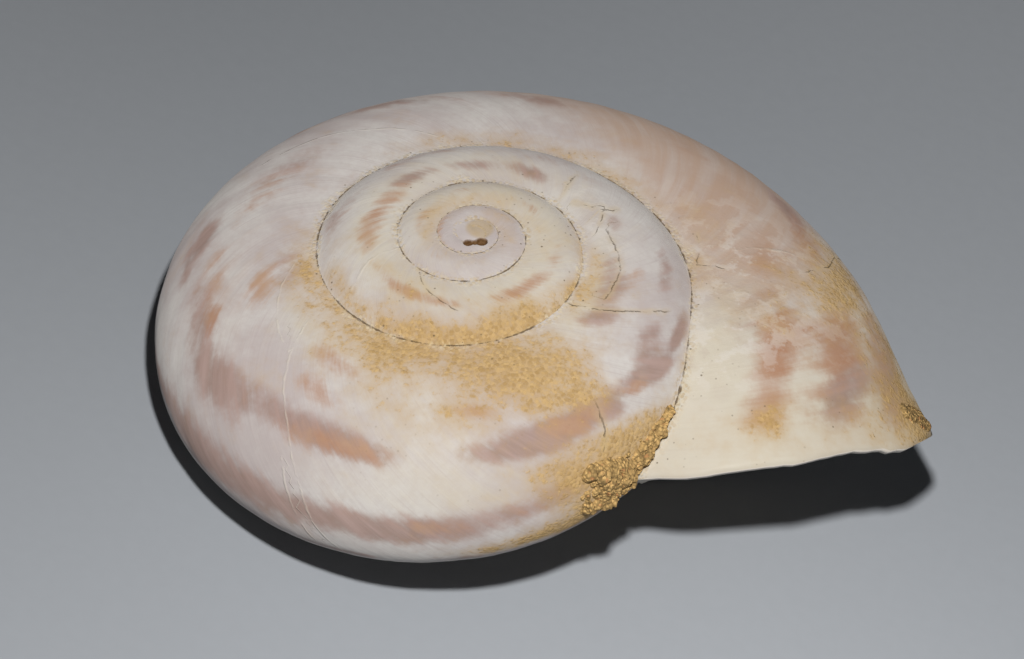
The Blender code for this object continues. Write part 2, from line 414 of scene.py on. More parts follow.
# The lamp hangs beside the view's line, back, up and to the right from the shell's middle.
SHELL_MIDDLE = Vector((0, 0, 6 * MM))
LAMP_BACK = 145 * MM
LAMP_UP = 22 * MM
LAMP_RIGHT = 4 * MM
LAMP_SIZE = 5 * MM
SKY = (0.92, 0.96, 1.0, 1)

# The floor's reach, and the spans of its painted light, paler to the right, and of its painted shade, darker
# away from the camera.
FLOOR_HALF = 3.0
FLOOR_PAINTED_LIGHT_SPAN = 32 * MM
FLOOR_PAINTED_SHADE_SPAN = (-30 * MM, 36 * MM)


def section(turn):
    """The middle's distance from the axis, its height, and the half width and half height of the whorl."""
    size = GROWTH_PER_TURN ** (turn / TURN)
    fall = np.clip(1 + turn / FALL_LENGTH, 0, 1) ** 2
    wide = 1 + FLARE * np.clip(1 + turn / FLARE_LENGTH, 0, 1) ** 2
    middle = AXIS_TO_MIDDLE * size - DRAW_IN * fall
    height = -APEX_TO_MIDDLE * size**DROP_POWER - FALL * fall
    return middle, height, HALF_WIDTH * size * wide, HALF_HEIGHT * size * wide


def outline(turn, around):
    """Distance from the axis and height of the whorl's surface."""
    middle, height, half_width, half_height = section(turn)
    to_lip = np.clip(1 + (turn - lean(around)) / LIP_OUT_LENGTH, 0, 1.1)
    across = half_width * np.cos(around) + LIP_OUT * (to_lip * np.clip(np.cos(around), 0, 1)) ** 2
    up = half_height * np.sin(around)
    cos, sin = math.cos(SECTION_TILT), math.sin(SECTION_TILT)
    return middle + across * cos - up * sin, height + across * sin + up * cos


def whorl_point(turn, around):
    radius, height = outline(turn, around)
    azimuth = LIP_AZIMUTH - turn
    return np.stack([radius * np.cos(azimuth), radius * np.sin(azimuth), height], -1)


def in_previous(turn, around):
    """The same point on the whorl before: its size against that outline, and its angle around there."""
    radius, up = outline(turn, around)
    middle, height, half_width, half_height = section(turn - TURN)
    cos, sin = math.cos(SECTION_TILT), math.sin(SECTION_TILT)
    across = ((radius - middle) * cos + (up - height) * sin) / half_width
    above = ((up - height) * cos - (radius - middle) * sin) / half_height
    return np.hypot(across, above), np.arctan2(above, across)


def suture(turn):
    """The angle around at which the whorl leaves the one before it."""
    low = np.full(np.shape(turn), math.radians(70.0))
    high = np.full(np.shape(turn), math.radians(135.0))
    for _ in range(40):
        middle = (low + high) / 2
        outside = in_previous(turn, middle)[0] > 1
        low = np.where(outside, middle, low)
        high = np.where(outside, high, middle)
    return low


def landing(turn):
    """The angle around, on the whorl before, at which the whorl's suture lies. Past the lip it goes back."""
    mirrored = -np.abs(turn)
    return in_previous(mirrored, suture(mirrored))[1]


def lean(around):
    """How far a growth line has fallen behind its upper end."""
    quarter = (SUTURE_AROUND - around) / (SUTURE_AROUND - BASE_AROUND) * math.pi / 2
    at_landing = (SUTURE_AROUND - LANDING_AROUND) / (SUTURE_AROUND - BASE_AROUND) * math.pi / 2
    most = SUTURE_SHARE * TURN / math.sin(at_landing)
    back = np.clip((BASE_AROUND - around) / (BASE_AROUND - UMBILICAL_AROUND), 0, 1)
    return -most * np.sin(quarter) * (1 - PLANE_RETURN * back * back * (3 - 2 * back))


def smooth(value):
    """0 up to 0, 1 from 1 on, and an even curve between."""
    value = np.clip(value, 0, 1)
    return value * value * (3 - 2 * value)


def speckle(across, along):
    """A number from 0 to 1 for each whole place, the same in each run."""
    return np.modf(np.abs(np.sin(across * 127.1 + along * 311.7) * 43758.5453))[0]


def grain(across, along):
    """Smooth noise from -1 to 1 with cells one unit wide."""
    left, low = np.floor(across), np.floor(along)
    right_share, up_share = smooth(across - left), smooth(along - low)
    below = speckle(left, low) * (1 - right_share) + speckle(left + 1, low) * right_share
    above = speckle(left, low + 1) * (1 - right_share) + speckle(left + 1, low + 1) * right_share
    return 2 * (below * (1 - up_share) + above * up_share) - 1


def pebbles(across, along):
    """Rounded grains about one unit wide: 1 on top of a grain and 0 between them."""
    nearest = np.ones_like(across)
    for right in (-1, 0, 1):
        for up in (-1, 0, 1):
            left, low = np.floor(across) + right, np.floor(along) + up
            away = np.hypot(across - left - speckle(left, low + 57), along - low - speckle(low, left + 31))
            nearest = np.minimum(nearest, away / (0.45 + 0.5 * speckle(left + 9, low)))
    return np.sqrt(1 - nearest**2)


def patches(places, growth, around):
    """How strongly the patches colour each place, from 0 to 1."""
    bare = np.ones_like(growth)
    for middle, height, half_length, half_height, strength in places:
        away = ((growth - middle) / half_length) ** 2 + ((around - height) / half_height) ** 2
        bare *= 1 - strength * np.exp(-0.45 * away)
    return 1 - bare


class ShellSettings(bpy.types.PropertyGroup):
    rows: IntProperty(
        name="Rows a turn", description="Rows of the mesh in each turn", default=300, min=60, step=10
    )
    wall: FloatProperty(name="Wall", description="The wall's thickness", default=0.55 * MM, unit="LENGTH")
    lip: FloatProperty(
        name="Lip", description="The wall's thickness at the lip", default=0.36 * MM, unit="LENGTH"
    )
    chip: FloatProperty(
        name="Chips", description="Depth of the broken edge", default=0.14 * MM, unit="LENGTH"
    )
    ridges: FloatProperty(
        name="Ridges", description="Height of growth ridges", default=0.04 * MM, unit="LENGTH"
    )
    ground: FloatVectorProperty(
        name="Ground", description="The bare shell's colour", subtype="COLOR", default=(0.60, 0.56, 0.52)
    )
    mauve: FloatVectorProperty(
        name="Mauve", description="The faded bands' colour", subtype="COLOR", default=(0.32, 0.205, 0.165)
    )
    rust: FloatVectorProperty(
        name="Rust", description="Colour of the bands' cores", subtype="COLOR", default=(0.41, 0.20, 0.11)
    )
    ochre: FloatVectorProperty(
        name="Ochre", description="Colour of the soil's stain", subtype="COLOR", default=(0.52, 0.33, 0.12)
    )
    pink: FloatVectorProperty(
        name="Pink", description="Colour of the pink stretch", subtype="COLOR", default=(0.50, 0.35, 0.26)
    )
    cream: FloatVectorProperty(
        name="Cream", description="Colour towards the lip", subtype="COLOR", default=(0.63, 0.565, 0.43)
    )


class SoilSettings(bpy.types.PropertyGroup):
    clod: FloatProperty(name="Clod", description="The clod's thickness", default=0.5 * MM, unit="LENGTH")
    crumb: FloatProperty(name="Crumb", description="The crumb's thickness", default=0.2 * MM, unit="LENGTH")
    earth: FloatVectorProperty(
        name="Earth", description="The dry soil's colour", subtype="COLOR", default=(0.42, 0.27, 0.105)
    )


class StageSettings(bpy.types.PropertyGroup):
    key: FloatProperty(name="Key light", description="Power of the key light", default=0.205, min=0)
    fill: FloatProperty(
        name="Fill light", description="Strength of the light from all around", default=0.035, min=0
    )
    distance: FloatProperty(
        name="Camera distance",
        description="From the camera to the apex",
        default=CAMERA_DISTANCE,
        unit="LENGTH",
    )
    floor: FloatVectorProperty(
        name="Floor", description="The floor's colour", subtype="COLOR", default=(0.335, 0.35, 0.37)
    )


class Value:
    """A material's socket that sums can be written with."""

    def __init__(self, finish, socket):
        self.finish = finish
        self.socket = socket

    def __add__(self, other):
        return self.finish.sum("ADD", self, other)

    def __radd__(self, other):
        return self.finish.sum("ADD", other, self)

    def __sub__(self, other):
        return self.finish.sum("SUBTRACT", self, other)

    def __rsub__(self, other):
        return self.finish.sum("SUBTRACT", other, self)

    def __mul__(self, other):
        return self.finish.sum("MULTIPLY", self, other)

    def __rmul__(self, other):
        return self.finish.sum("MULTIPLY", other, self)

    def __truediv__(self, other):
        return self.finish.sum("DIVIDE", self, other)

    def __abs__(self):
        return self.finish.sum("ABSOLUTE", self)

    def at_most(self, other):
        return self.finish.sum("MINIMUM", self, other)

    def ramp(self, low, high):
        """0 below low, 1 above high, smooth between. With low above high it falls."""
        sockets = {"Value": self, "From Min": low, "From Max": high}
        made = self.finish.node("ShaderNodeMapRange", {"interpolation_type": "SMOOTHSTEP"}, sockets)
        return Value(self.finish, made.outputs["Result"])


class Finish:
    """A material as it is written."""

    def __init__(self, name):
        self.material = bpy.data.materials.new(name)
        self.material.use_nodes = True
        self.tree = self.material.node_tree
        self.shader = self.tree.nodes["Principled BSDF"]

    def node(self, kind, settings=None, sockets=None):
        made = self.tree.nodes.new(kind)
        for name, value in (settings or {}).items():
            setattr(made, name, value)
        for name, value in (sockets or {}).items():
            self.feed(made.inputs[name], value)
        return made

    def feed(self, socket, value):
        if isinstance(value, Value):
            self.tree.links.new(value.socket, socket)
        elif isinstance(value, (int, float)):
            socket.default_value = value
        else:
            width = len(socket.default_value)
            socket.default_value = (*value, 1.0)[:width]

    def sum(self, operation, *values):
        made = self.node("ShaderNodeMath", {"operation": operation}, dict(enumerate(values)))
        return Value(self, made.outputs[0])

    def mix(self, share, first, second):
        """The first colour where share is 0 and the second where it is 1."""
        made = self.node("ShaderNodeMix", {"data_type": "RGBA"}, {0: share, 6: first, 7: second})
        return Value(self, made.outputs[2])

    def join(self, x, y, z):
        made = self.node("ShaderNodeCombineXYZ", {}, {"X": x, "Y": y, "Z": z})
        return Value(self, made.outputs[0])

    def attribute(self, name, output="Fac"):
        made = self.node("ShaderNodeAttribute", {"attribute_name": name})
        return Value(self, made.outputs[output])

    def split(self, vector):
        made = self.node("ShaderNodeSeparateXYZ", {}, {0: vector})
        return [Value(self, made.outputs[axis]) for axis in "XYZ"]

    def place(self):
        made = self.node("ShaderNodeTexCoord")
        return Value(self, made.outputs["Object"])

    def noise(self, vector, scale, detail=3.0, rough=0.5):
        sockets = {"Vector": vector, "Scale": scale, "Detail": detail, "Roughness": rough}
        made = self.node("ShaderNodeTexNoise", {}, sockets)
        return Value(self, made.outputs["Fac"])

    def cells(self, vector, scale):
        """The distance to the nearest grain's middle, and a random number for that grain."""
        made = self.node("ShaderNodeTexVoronoi", {"feature": "F1"}, {"Vector": vector, "Scale": scale})
        return Value(self, made.outputs["Distance"]), self.split(Value(self, made.outputs["Color"]))[0]

    def bump(self, height, distance, strength=1.0):
        sockets = {"Height": height, "Distance": distance, "Strength": strength}
        made = self.node("ShaderNodeBump", {}, sockets)
        return Value(self, made.outputs["Normal"])

    def set(self, **values):
        for name, value in values.items():
            self.feed(self.shader.inputs[name.replace("_", " ")], value)
        return self.material


def shell_finish(settings):
    """Satin shell: streaked along the growth lines, with faded bands, stains and soil in its sutures."""
    finish = Finish("weathered_shell")
    growth, around, seam = finish.split(finish.attribute("growth", "Vector"))
    inside = finish.attribute("inside")
    place = finish.place()
    broad = finish.noise(place, 130, 3)
    middling = finish.noise(place, 420, 4, 0.6)
    ragged = finish.noise(place, 1300, 5, 0.65)
    fine = finish.noise(place, 4200, 3, 0.6)
    streaks = finish.noise(finish.join(growth * 95, around * 1.1, 0), 1.0, 4, 0.6)
    hair = finish.noise(finish.join(growth * 520, around * 2.2, 0), 1.0, 2, 0.5)
    edge = (ragged - 0.5) * 0.6 + (streaks - 0.5) * 1.1 + (middling - 0.5) * 0.9
    gap, tone = finish.cells(place, GRAINS_A_METRE)
    grit = gap.ramp(0.75, 0.35)

    # The bare shell: pale streaks, dull clouds, hair lines and mottling.
    pale = tuple(1 - 0.88 * (1 - part) for part in settings.ground)
    colour = finish.mix((streaks * 0.6 + middling * 0.4).ramp(0.30, 0.66), settings.ground, pale)
    colour = finish.mix((broad * 0.6 + middling * 0.4).ramp(0.41, 0.61) * 0.7, colour, DULL_SHELL)
    colour = finish.mix((hair - 0.5).ramp(0.0, 0.3) * 0.35, colour, DULL_SHELL)
    colour = finish.mix((fine * 0.6 + ragged * 0.4).ramp(0.42, 0.6) * 0.16, colour, DULL_SHELL)

    # The patches of colour, torn along the growth lines.
    mauve, rust = finish.attribute("mauve"), finish.attribute("rust")
    mauve = (mauve + edge * (mauve * 3).at_most(1)).ramp(0.10, 0.85)
    rust = (rust + edge * (rust * 3).at_most(1)).ramp(0.15, 0.90)
    pink = (finish.attribute("pink") + edge * 0.6).ramp(0.0, 0.9)
    cream_reach = finish.attribute("cream")
    cream = (cream_reach + edge * 0.6).ramp(0.0, 0.9)
    colour = finish.mix(pink * (0.55 + 0.4 * streaks.ramp(0.7, 0.35)), colour, settings.pink)
    colour = finish.mix(cream * 0.7, colour, settings.cream)
    streaked = finish.mix(streaks.ramp(0.35, 0.7), settings.mauve, PALE_MAUVE)
    colour = finish.mix(mauve * 0.85, colour, streaked)
    mottled = finish.mix(middling.ramp(0.35, 0.65), settings.rust, PALE_RUST)
    colour = finish.mix(rust * 0.88, colour, mottled)

    # Flaking skin, then the soil's stain and its powder.
    flaky = finish.attribute("flaky")
    flakes, flake_tone = finish.cells(place, FLAKES_A_METRE)
    flakes = flakes + (ragged - 0.5) * 1.4 + (fine - 0.5) * 0.6
    colour = finish.mix(flaky * flakes.ramp(0.5, 0.25) * flake_tone * 0.4, colour, DARK_FLAKE)
    colour = finish.mix(flaky * flakes.ramp(0.5, 0.75) * 0.45, colour, PALE_FLAKE)
    ochre = finish.attribute("ochre")
    stained = (ochre + (middling - 0.5) * 1.0 + (ragged - 0.5) * 0.6).ramp(0.02, 0.9)
    colour = finish.mix(stained * 0.7, colour, settings.ochre)
    powder = ochre * 1.1 + (ragged - 0.5) * 1.3 + (middling - 0.5) * 1.2 + (fine - 0.5) * 1.5
    powder = powder.ramp(0.50, 1.0)
    earthy = finish.mix((tone * 0.6 + fine * 0.5).ramp(0.2, 0.9), DARK_POWDER, PALE_POWDER)
    colour = finish.mix(powder * (0.5 + grit * 0.3), colour, earthy)

    # The sutures: a broken crust and a broken dark line, both narrower on the smaller whorls.
    beside = seam / (1 + growth * 0.18)
    crust = (beside + (ragged - 0.5) * 0.8 + (middling - 0.5) * 2.6).ramp(0.55, 0.0)
    crust = crust * beside.ramp(1.5, 0.8) * grit
    colour = finish.mix(crust * 0.6, colour, finish.mix(tone, DARK_CRUST, PALE_CRUST))
    line = (beside + (fine - 0.5) * 0.3 + (middling - 0.5) * 0.25).ramp(0.08, 0.0)
    line = line * ragged.ramp(0.40, 0.54) * growth.ramp(-3.45, -3.1)
    colour = finish.mix(line * 0.85, colour, SUTURE_LINE)

    # Cracks with soil beside them, pale threads and dark specks.
    near_crack = finish.attribute("crack_near")
    wander = (middling - 0.5) * 0.5 + (ragged - 0.5) * 0.35 + (fine - 0.5) * 0.08
    from_crack = abs(finish.attribute("crack") + wander)
    crack = from_crack.ramp(0.045, 0.0) * near_crack * ragged.ramp(0.42, 0.6)
    crack_crust = from_crack.ramp(0.28, 0.0) * near_crack * middling.ramp(0.35, 0.6)
    colour = finish.mix(crack_crust * 0.35, colour, CRACK_CRUST)
    colour = finish.mix(crack * 0.65, colour, CRACK_LINE)
    thread = abs(finish.attribute("thread") + (middling - 0.5) * 0.5).ramp(0.09, 0.0)
    thread = thread * finish.attribute("thread_near") * ragged.ramp(0.35, 0.6)
    colour = finish.mix(thread * 0.35, colour, PALE_THREAD)
    dot, dot_tone = finish.cells(place, SPECKS_A_METRE)
    specks = (dot + (fine - 0.5) * 0.12).ramp(0.15, 0.08) * dot_tone.ramp(0.2, 0.45)
    specks = specks * middling.ramp(0.42, 0.54)
    speckled = (seam.ramp(1.6, 0.2) * 0.9 + cream_reach * 0.6 + ochre * 0.5).at_most(1)
    colour = finish.mix(specks * speckled * 0.75, colour, DARK_SPECK)

    # The eroded tip, with painted shade in its holes mixed with brown crumbs, and the inside.
    hole = (finish.attribute("hole") + (fine - 0.5) * 0.2).ramp(0.2, 0.8)
    colour = finish.mix(finish.attribute("nucleus") * (0.25 + 0.7 * ragged), colour, TAN_NUCLEUS)
    # Painted shade: near-black in the holes, mixed with brown crumbs of soil.
    colour = finish.mix(hole, colour, finish.mix(ragged.ramp(0.35, 0.65), HOLE_PAINTED_SHADE, HOLE_CRUMBS))
    colour = finish.mix(inside, colour, PALE_INSIDE)

    height = streaks * 0.30 + hair * 0.16 + ragged * (0.10 + flaky * 0.5) + flaky * flakes * 0.4
    height = height + powder * grit * 0.35 + crust * 0.3 - line * 0.8 - crack * 1.0 + thread * 0.4
    normal = finish.bump(height * (1 - inside * 0.85), SHELL_BUMP, 0.8)
    rough = 0.56 + stained * 0.2 + powder * 0.2 + crust * 0.2 + (broad - 0.5) * 0.2
    return finish.set(
        Base_Color=colour,
        Roughness=(rough - inside * 0.15).at_most(0.95),
        Normal=normal,
        Diffuse_Roughness=0.4,
        Specular_IOR_Level=0.22,
    )


def soil_finish(settings):
    """Dry sandy soil: pale grains in a crumbling crust, with painted shade between the grains, and a red
    grain here and there.
    """
    finish = Finish("dry_soil")
    place = finish.place()
    lumps = finish.noise(place, 1100, 4, 0.6)
    gap, tone = finish.cells(place, GRAINS_A_METRE)
    dark = tuple(0.40 * part for part in settings.earth)
    pale = tuple(min(1.0, 1.7 * part) for part in settings.earth)
    colour = finish.mix((tone * 0.7 + lumps * 0.6).ramp(0.35, 0.95), settings.earth, pale)
    # Painted shade: darker in the gaps between the grains, broken up by the lumps.
    colour = finish.mix((gap + (lumps - 0.5) * 0.5).ramp(0.45, 0.8) * 0.75, colour, dark)
    colour = finish.mix(tone.ramp(0.93, 0.97) * 0.6, colour, RED_GRAIN)
    height = gap.ramp(0.7, 0.0) * 0.7 + lumps * 0.5
    normal = finish.bump(height, SOIL_BUMP)
    return finish.set(Base_Color=colour, Roughness=0.95, Normal=normal, Specular_IOR_Level=0.25)


def floor_finish(settings):
    """Smooth grey paper with painted light and shade: its colour grows paler to the right and a little darker
    away from the camera.
    """
    finish = Finish("pale_floor")
    place = finish.place()
    grit = finish.noise(place, 1400, 2)
    across, far, _ = finish.split(place)
    pale = tuple(1.55 * part for part in settings.floor)
    # Painted light: the colour pales to the right, as if lit more there.
    colour = finish.mix(across.ramp(-FLOOR_PAINTED_LIGHT_SPAN, FLOOR_PAINTED_LIGHT_SPAN), settings.floor, pale)
    # Painted shade: the colour darkens away from the camera, with faint random grit.
    colour = finish.mix(grit * 0.04 + far.ramp(*FLOOR_PAINTED_SHADE_SPAN) * 0.2, colour, (0, 0, 0))
    return finish.set(Base_Color=colour, Roughness=0.75, Diffuse_Roughness=0.5, Specular_IOR_Level=0.2)


def lip_edge(step, chip):
    """How far the lip stands forward of its growth line: a low swell, and the break's waves and notches."""
    swell = LIP_SWELL * smooth(step) * np.exp(-(((step - 2.4) / 2) ** 4))
    waves = 0.2 * np.sin(2.3 * step) + 0.12 * np.sin(5.1 * step + 1)
    notches = 0.25 * grain(step * 3.1, 3.0) + 0.4 * grain(step * 7.3, 7.0)
    return swell + chip * (waves + notches) * np.sin(math.pi * step / STEPS_TO_UMBILICUS)


def growth_grid(settings):
    """Every row and column of the outside, hidden ones too: points, normals, growth angles, angles around and
    distances from the nearest suture."""
    rows = settings.rows
    row_angle = TURN / rows
    growth = np.arange(-round(TURNS * rows), 1)[:, None] * row_angle
    columns = np.arange(COLUMNS + 1)
    upper = np.minimum(columns / LANDING, 1)
    lower = np.maximum(columns - LANDING, 0) / (COLUMNS - LANDING)
    nominal = SUTURE_AROUND + (LANDING_AROUND - SUTURE_AROUND) * upper
    nominal = nominal + (UMBILICAL_AROUND - LANDING_AROUND) * lower
    from_mouth = TURN * (1 - SUTURE_SHARE)
    exact = np.clip((growth + from_mouth) / (TRUE_FROM + from_mouth), 0, 1) * upper
    step = STEPS_TO_LANDING * upper + (STEPS_TO_UMBILICUS - STEPS_TO_LANDING) * lower
    forward = lip_edge(step, settings.chip) / AXIS_TO_MIDDLE
    to_edge = np.linspace(0, 1, LIP_ROWS + 1)[:, None] ** 2
    around = nominal
    for _ in range(4):
        turn = growth + (1 - exact) * lean(nominal) + exact * lean(around)
        turn[-LIP_ROWS - 1 :] += to_edge * forward
        start, end = suture(turn), landing(turn + TURN)
        around = start + (end - start) * upper + (UMBILICAL_AROUND - end) * lower
    points = whorl_point(turn, around)
    normals = surface_normals(points)
    steps = np.linalg.norm(np.diff(points, axis=1, prepend=points[:, :1]), axis=2)
    from_suture = np.cumsum(steps, axis=1)
    from_landing = from_suture - from_suture[:, LANDING : LANDING + 1]
    past_mouth = np.maximum(growth - mouth_row(settings) * row_angle, 0)
    past_mouth = past_mouth * (AXIS_TO_MIDDLE + HALF_WIDTH) / GROWTH_PER_TURN
    seam = np.minimum(from_suture, np.hypot(from_landing, past_mouth))
    size = GROWTH_PER_TURN ** (turn / TURN)
    growth = turn - lean(around)
    points = points + (relief(growth, around, seam, size) * settings.ridges)[..., None] * normals
    return points, normals, growth, around, seam


def surface_normals(points):
    normals = np.cross(np.gradient(points, axis=0), np.gradient(points, axis=1))
    normals /= np.linalg.norm(normals, axis=2, keepdims=True)
    middle = points.shape[1] // 2
    outwards = points[-1, middle, :2] @ normals[-1, middle, :2]
    return normals * math.copysign(1, outwards)


def relief(growth, around, seam, size):
    """Ridges and hollows along the growth lines, as parts of the ridges' height."""
    strand = np.degrees(growth) + 0.17 * np.degrees(around)
    ridges = 0.55 * grain(strand / 4.3, around * 0.8) + 0.35 * grain(strand / 1.7, around * 1.5)
    swells = 0.8 * grain(strand / 13, around * 0.5)
    lumps = 0.35 * grain(strand / 5, np.degrees(around) / 6)
    fade = smooth(seam / (RELIEF_FADE * size)) * (1 - 0.7 * smooth(1 + np.degrees(growth) / 12))
    return (ridges + swells + lumps - RELIEF_DEPTH) * fade * size


def mouth_ring(points, settings):
    """The closed section at the lip: down the whorl, over the pillar's foot, and up the whorl before."""
    before = points[mouth_row(settings) - 1, :LANDING:-1]
    return np.concatenate([points[-1], [[0, 0, -PILLAR_FOOT]], before, points[-1, :1]])


def mouth_row(settings):
    """The row, one turn back, on which the mouth's inner side lies."""
    return round((SUTURE_SHARE - 1) * settings.rows)


def cavity_ring(points, normals, row, settings):
    """The hollow's section at a row: the closed section drawn in by the wall, the callus and the pillar."""
    last, size = row - 1 + len(points), GROWTH_PER_TURN ** (row / settings.rows)
    full = smooth(-row / (0.06 * settings.rows))
    wall = (settings.lip + (settings.wall - settings.lip) * full) * size
    callus = CALLUS * size
    inner = last + mouth_row(settings)
    outer = points[last] - wall * normals[last]
    before = points[inner] + callus * normals[inner]
    inward, outward = -normals[last, 0], normals[inner, LANDING]
    facing = inward @ outward
    along_inward = (wall - facing * callus) / (1 - facing**2)
    along_outward = (callus - facing * wall) / (1 - facing**2)
    outer[0] = points[last, 0] + along_inward * inward + along_outward * outward
    to_mouth = outer[COLUMNS - 1, :2] / np.linalg.norm(outer[COLUMNS - 1, :2])
    foot = np.append(to_mouth * PILLAR_RADIUS * size, -PILLAR_FOOT * size**DROP_POWER)
    return np.concatenate([outer, foot[None], before[:LANDING:-1], outer[:1]])


def lay_grid(bm, points, marks=None):
    """Adds a grid with its vertices at the points and any marks on its corners, and returns them by row."""
    rows, columns = points.shape[:2]
    verts = bmesh.ops.create_grid(bm, x_segments=columns - 1, y_segments=rows - 1, size=1)["verts"]
    for vert, place in zip(verts, points.reshape(-1, 3)):
        vert.co = place
    if marks is not None:
        layer = bm.loops.layers.float_vector["growth"]
        mark_of = dict(zip(verts, marks.reshape(-1, 3)))
        for face in {face for vert in verts for face in vert.link_faces}:
            for loop in face.loops:
                loop[layer] = mark_of[loop.vert]
    return [verts[row * columns : (row + 1) * columns] for row in range(rows)]


def close_over(bm, verts, tip):
    """Closes the surface from a chain of vertices to one point, as a fan."""
    chain = set(verts)
    open_edges = [edge for edge in bm.edges if edge.is_boundary and chain.issuperset(edge.verts)]
    made = bmesh.ops.extrude_edge_only(bm, edges=open_edges)["geom"]
    made_verts = [part for part in made if isinstance(part, bmesh.types.BMVert)]
    bmesh.ops.pointmerge(bm, verts=made_verts, merge_co=tip)


def cap_rings(ring):
    """Rings from the first turn's edge to the middle of the nucleus: a low dome with the joined holes."""
    middle = ring.mean(axis=0)
    middle[2] = ring[:, 2].max()
    shares = np.linspace(0, 1, CAP_RINGS + 1)[:, None, None]
    points = ring * (1 - shares) + middle * shares
    points[..., 2] += TIP_DOME * np.sin(math.pi * shares[..., 0] / 2)
    return sunk_holes(points)


def sunk_holes(points):
    """The points with those in the tip's holes let down."""
    lowered = points.copy()
    lowered[..., 2] -= HOLE_DEPTH * holes(points) * (points[..., 2] > -TIP_DROP)
    return lowered


def holes(points, spread=1.0):
    """1 inside the tip's holes, falling to 0 at their edges, with their radii multiplied by the spread."""
    deep = np.zeros(points.shape[:-1])
    for across, along, radius in HOLES:
        away = np.hypot(points[..., 0] - across, points[..., 1] - along)
        deep = np.maximum(deep, smooth((1.2 * radius * spread - away) / (0.5 * radius)))
    return deep


def piece_from(name, bm):
    """Welds the piece, sets it down at its rest inside the model's box and makes it an object."""
    bmesh.ops.remove_doubles(bm, verts=bm.verts, dist=WELD)
    bmesh.ops.recalc_face_normals(bm, faces=bm.faces)
    if bm.calc_volume(signed=True) < 0:
        bmesh.ops.reverse_faces(bm, faces=bm.faces)
    at_rest = Matrix.Translation(APEX_PLACE) @ REST_TURN.to_matrix().to_4x4()
    bmesh.ops.transform(bm, matrix=at_rest, verts=bm.verts)
    for vert in bm.verts:
        vert.co.x = min(vert.co.x, CAD_BOX[1][0])
    mesh = bpy.data.meshes.new(name)
    bm.to_mesh(mesh)
    bm.free()
    mesh.shade_smooth()
    piece = bpy.data.objects.new(name, mesh)
    bpy.context.collection.objects.link(piece)
    return piece


def paint(mesh):
    """Gives each corner of the outside its share of every colour."""
    corners = len(mesh.loops)
    marks = np.empty(corners * 3)
    mesh.attributes["growth"].data.foreach_get("vector", marks)
    growth, around, seam = marks.reshape(-1, 3).T
    places = np.empty(len(mesh.vertices) * 3)
    mesh.vertices.foreach_get("co", places)
    vertex_of = np.empty(corners, dtype=np.int32)
    mesh.loops.foreach_get("vertex_index", vertex_of)
    turned = np.array(REST_TURN.to_matrix())
    from_apex = ((places.reshape(-1, 3) - APEX_PLACE) @ turned)[vertex_of]
    inside = np.where(seam > (FAR_FROM_SUTURE + INSIDE_MARK) / 2, 1.0, 0.0)
    outside = 1 - inside
    growth, around = growth * 360, np.degrees(around)
    near_tip = (np.hypot(from_apex[:, 0], from_apex[:, 1]) < TIP_REACH) & (from_apex[:, 2] > -TIP_DROP)
    tip_away = np.hypot(from_apex[:, 0] - NUCLEUS[0], from_apex[:, 1] - NUCLEUS[1])
    underneath = smooth((-16 - around) / 10)
    far_side = smooth((growth + 205) / 12) * smooth((-55 - growth) / 12) * smooth((52 - around) / 8)
    faded = faded_bands(growth, around) * np.clip(underneath + far_side, 0, 1)
    shares = {
        "inside": inside,
        "mauve": np.maximum(patches(MAUVE_PATCHES, growth, around), faded) * outside,
        "rust": patches(RUST_PATCHES, growth, around) * outside,
        "ochre": patches(OCHRE_PATCHES, growth, around) * outside,
        "pink": patches(PINK_PATCHES, growth, around) * outside,
        "cream": patches(CREAM_PATCHES, growth, around) * outside,
        "flaky": patches(FLAKY_PATCHES, growth, around) * outside,
        "hole": holes(from_apex, 1.15) * near_tip,
        "nucleus": smooth((NUCLEUS[2] - tip_away) / NUCLEUS_EDGE) * near_tip,
    }
    shares["crack"], shares["crack_near"] = to_lines(CRACKS, growth, around)
    shares["thread"], shares["thread_near"] = to_lines(THREADS, growth, around)
    for name, share in shares.items():
        layer = mesh.attributes.new(name, "FLOAT", "CORNER")
        layer.data.foreach_set("value", share.astype(np.float32))


def to_lines(lines, growth, around):
    """The millimetres to the nearest line, negative on one side of it, and a share that is 1 beside it."""
    nearest = np.full_like(growth, FAR_FROM_LINES)
    signed = np.full_like(growth, FAR_FROM_LINES)
    for line in lines:
        for (growth_a, around_a), (growth_b, around_b) in zip(line, line[1:]):
            size = GROWTH_PER_TURN ** (growth_a / 360) / MM
            wide = (AXIS_TO_MIDDLE + HALF_WIDTH * math.cos(math.radians(around_a))) * size * math.radians(1)
            high = HALF_HEIGHT * size * math.radians(1)
            across, along = (growth - growth_a) * wide, (around - around_a) * high
            end = Vector(((growth_b - growth_a) * wide, (around_b - around_a) * high))
            share = np.clip((across * end.x + along * end.y) / end.length_squared, 0, 1)
            away = np.hypot(across - share * end.x, along - share * end.y)
            side = (across * end.y - along * end.x) / end.length
            signed = np.where(away < nearest, side, signed)
            nearest = np.minimum(away, nearest)
    return np.clip(signed, -1, 1), smooth((BESIDE_LINE - nearest) / BESIDE_FADE)


def faded_bands(growth, around):
    """Broken spiral bands, for underneath and down the far side."""
    share = np.zeros_like(growth)
    for number, height in enumerate(BAND_AROUNDS):
        broken = smooth(1.6 * grain(growth / 13 + 5 * number, number + 0.5) + 0.35)
        share = np.maximum(share, broken * np.exp(-(((around - height) / BAND_HALF_HEIGHT) ** 2)))
    return BAND_STRENGTH * share


